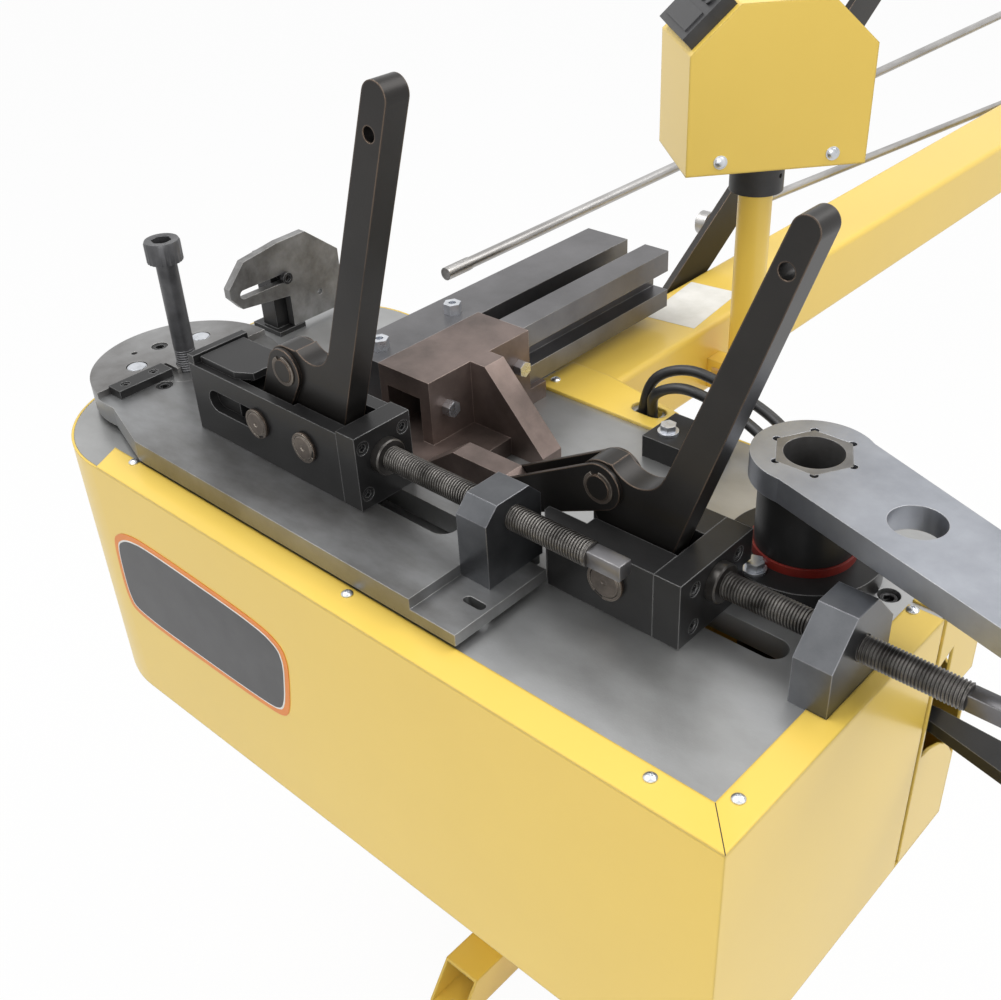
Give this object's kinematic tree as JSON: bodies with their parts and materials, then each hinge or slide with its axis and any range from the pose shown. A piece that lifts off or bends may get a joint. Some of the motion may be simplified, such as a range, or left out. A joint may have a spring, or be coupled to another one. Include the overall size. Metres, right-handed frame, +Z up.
{
  "type": "mandrel tube bender",
  "caption": "Floor-standing mandrel tube bender with a yellow cabinet, swing arm, toggle clamp and pressure units, long beam and swivelling control box.",
  "frame": {"origin": "middle of the overall box at floor level", "axes": "+X along the bed to the right, +Y along the beam to the back, +Z up"},
  "size_m": [1.2098, 2.931, 1.3948],
  "materials": {
    "yellow_paint": "gloss",
    "ground_steel": "satin",
    "black_oxide": "satin",
    "brown_oxide": "satin",
    "zinc": "gloss",
    "red_seal": "satin",
    "cable": "satin",
    "keypad": "matte"
  },
  "bodies": {
    "frame": {"cabinet_shell": "yellow_paint", "rear_panel": "yellow_paint", "bed_plate": "ground_steel", "bed_lips": "yellow_paint", "pan_screws": "zinc", "pedestal": "yellow_paint", "floor_feet": "yellow_paint", "beam": "yellow_paint", "beam_foot_plate": "yellow_paint", "rear_leg": "yellow_paint", "post": "yellow_paint", "post_collar": "black_oxide", "stop_block": "black_oxide", "hex_bolts": "zinc", "hub_flange": "black_oxide", "seal_ring": "red_seal", "nut_block_press": "black_oxide", "wiper_foot": "black_oxide", "wiper_screw": "black_oxide", "thrust_ring": "ground_steel", "actuator": "black_oxide", "actuator_cover": "black_oxide", "oil_tank": "black_oxide", "pump_motor": "ground_steel", "cable_a": "cable", "cable_b": "cable"},
    "swing": {"swing_arm": "ground_steel", "head_spindle": "ground_steel", "die_plate": "ground_steel", "key_bar": "black_oxide", "dowel_pins": "zinc", "head_screws": "black_oxide", "draw_bolt": "black_oxide", "nut_block_clamp": "black_oxide"},
    "clamp_unit": {"clamp_housing": "black_oxide", "clamp_end_plate": "black_oxide", "clamp_end_screws": "black_oxide"},
    "clamp_screw_b": {"clamp_screw": "black_oxide"},
    "clamp_lever_b": {"clamp_lever": "brown_oxide"},
    "clamp_link_b": {"clamp_link": "brown_oxide"},
    "clamp_jaw_b": {"clamp_jaw": "black_oxide"},
    "press_unit": {"press_housing": "black_oxide", "press_end_plate": "black_oxide"},
    "press_screw_b": {"press_screw": "black_oxide"},
    "press_lever_b": {"press_lever": "brown_oxide"},
    "press_link_b": {"press_link": "brown_oxide"},
    "push": {"push_bracket": "brown_oxide", "bracket_nuts": "zinc", "tslot_block": "black_oxide"},
    "die_slide_b": {"die_slide": "black_oxide"},
    "hub": {"hub_spindle": "ground_steel", "upper_arm": "black_oxide", "lower_arm": "black_oxide"},
    "control": {"control_box": "yellow_paint", "keypad": "keypad"},
    "wiper": {"wiper_plate": "ground_steel"},
    "mandrel": {"carriage": "black_oxide", "mandrel_rod": "ground_steel"},
    "hand": {"hand_lever": "brown_oxide"},
    "link": {"link_rod": "ground_steel"}
  },
  "joints": [
    {"name": "swing", "type": "hinge", "parent": "frame", "child": "swing", "pos_m": [-0.48688, -1.2845, 0.93], "axis": [0, 0, 1], "range_deg": [-180, 0]},
    {"name": "clamp_slide", "type": "slide", "parent": "swing", "child": "clamp_unit", "axis": [1, 0, 0], "range_m": [-0.04, 0.06]},
    {"name": "clamp_screw", "type": "hinge", "parent": "clamp_unit", "child": "clamp_screw_b", "pos_m": [0.01312, -1.324, 1.013], "axis": [1, 0, 0], "range_deg": [-4536, 6804]},
    {"name": "clamp_lever", "type": "hinge", "parent": "clamp_unit", "child": "clamp_lever_b", "pos_m": [-0.15588, -1.324, 1.01], "axis": [0, -1, 0], "range_deg": [0, 54]},
    {"name": "clamp_link", "type": "hinge", "parent": "clamp_lever_b", "child": "clamp_link_b", "pos_m": [-0.20038, -1.324, 1.0755], "axis": [0, -1, 0], "range_deg": [-116, 0]},
    {"name": "clamp_jaw", "type": "slide", "parent": "clamp_unit", "child": "clamp_jaw_b", "axis": [1, 0, 0], "range_m": [-0.0748, 0]},
    {"name": "press_slide", "type": "slide", "parent": "frame", "child": "press_unit", "axis": [1, 0, 0], "range_m": [-0.002, 0.06]},
    {"name": "press_screw", "type": "hinge", "parent": "press_unit", "child": "press_screw_b", "pos_m": [0.37312, -1.2445, 0.976], "axis": [1, 0, 0], "range_deg": [-228, 6804]},
    {"name": "press_lever", "type": "hinge", "parent": "press_unit", "child": "press_lever_b", "pos_m": [0.19112, -1.2445, 0.97], "axis": [0, -1, 0], "range_deg": [0, 57]},
    {"name": "press_link", "type": "hinge", "parent": "press_lever_b", "child": "press_link_b", "pos_m": [0.15112, -1.2445, 1.0356], "axis": [0, -1, 0], "range_deg": [-82, 0]},
    {"name": "push", "type": "slide", "parent": "press_unit", "child": "push", "axis": [1, 0, 0], "range_m": [-0.0524, 0]},
    {"name": "die_slide", "type": "slide", "parent": "push", "child": "die_slide_b", "axis": [0, 1, 0], "range_m": [-0.05, 0.12]},
    {"name": "hub", "type": "hinge", "parent": "frame", "child": "hub", "pos_m": [0.29112, -1.1245, 0.93], "axis": [0, 0, 1], "range_deg": [0, 85]},
    {"name": "control_swivel", "type": "hinge", "parent": "frame", "child": "control", "pos_m": [-0.02988, -0.7315, 1.17], "axis": [0, 0, 1], "range_deg": [-60, 60]},
    {"name": "wiper_slide", "type": "slide", "parent": "frame", "child": "wiper", "axis": [0, 1, 0], "range_m": [-0.0015, 0.066]},
    {"name": "hand_lever", "type": "hinge", "parent": "frame", "child": "hand", "pos_m": [-0.19188, -0.7045, 0.885], "axis": [1, 0, 0], "range_deg": [0, 20]},
    {"name": "link_rod", "type": "hinge", "parent": "hand", "child": "link", "pos_m": [-0.22488, -0.5435, 0.976], "axis": [1, 0, 0], "range_deg": [-22, 0]},
    {"name": "mandrel_slide", "type": "slide", "parent": "frame", "child": "mandrel", "axis": [0, 1, 0], "range_m": [-0.042, 0]}
  ],
  "couplings": [
    {"joint": "clamp_screw", "follows": "clamp_slide", "rad_per_m": 1979},
    {"joint": "clamp_link", "follows": "clamp_lever", "ratio": -2.14},
    {"joint": "clamp_jaw", "follows": "clamp_lever", "m_per_rad": -0.079259},
    {"joint": "press_screw", "follows": "press_slide", "rad_per_m": 1979},
    {"joint": "press_link", "follows": "press_lever", "ratio": -1.435},
    {"joint": "push", "follows": "press_lever", "m_per_rad": -0.052571},
    {"joint": "link_rod", "follows": "hand_lever", "ratio": -1.08},
    {"joint": "mandrel_slide", "follows": "hand_lever", "m_per_rad": -0.11717}
  ]
}
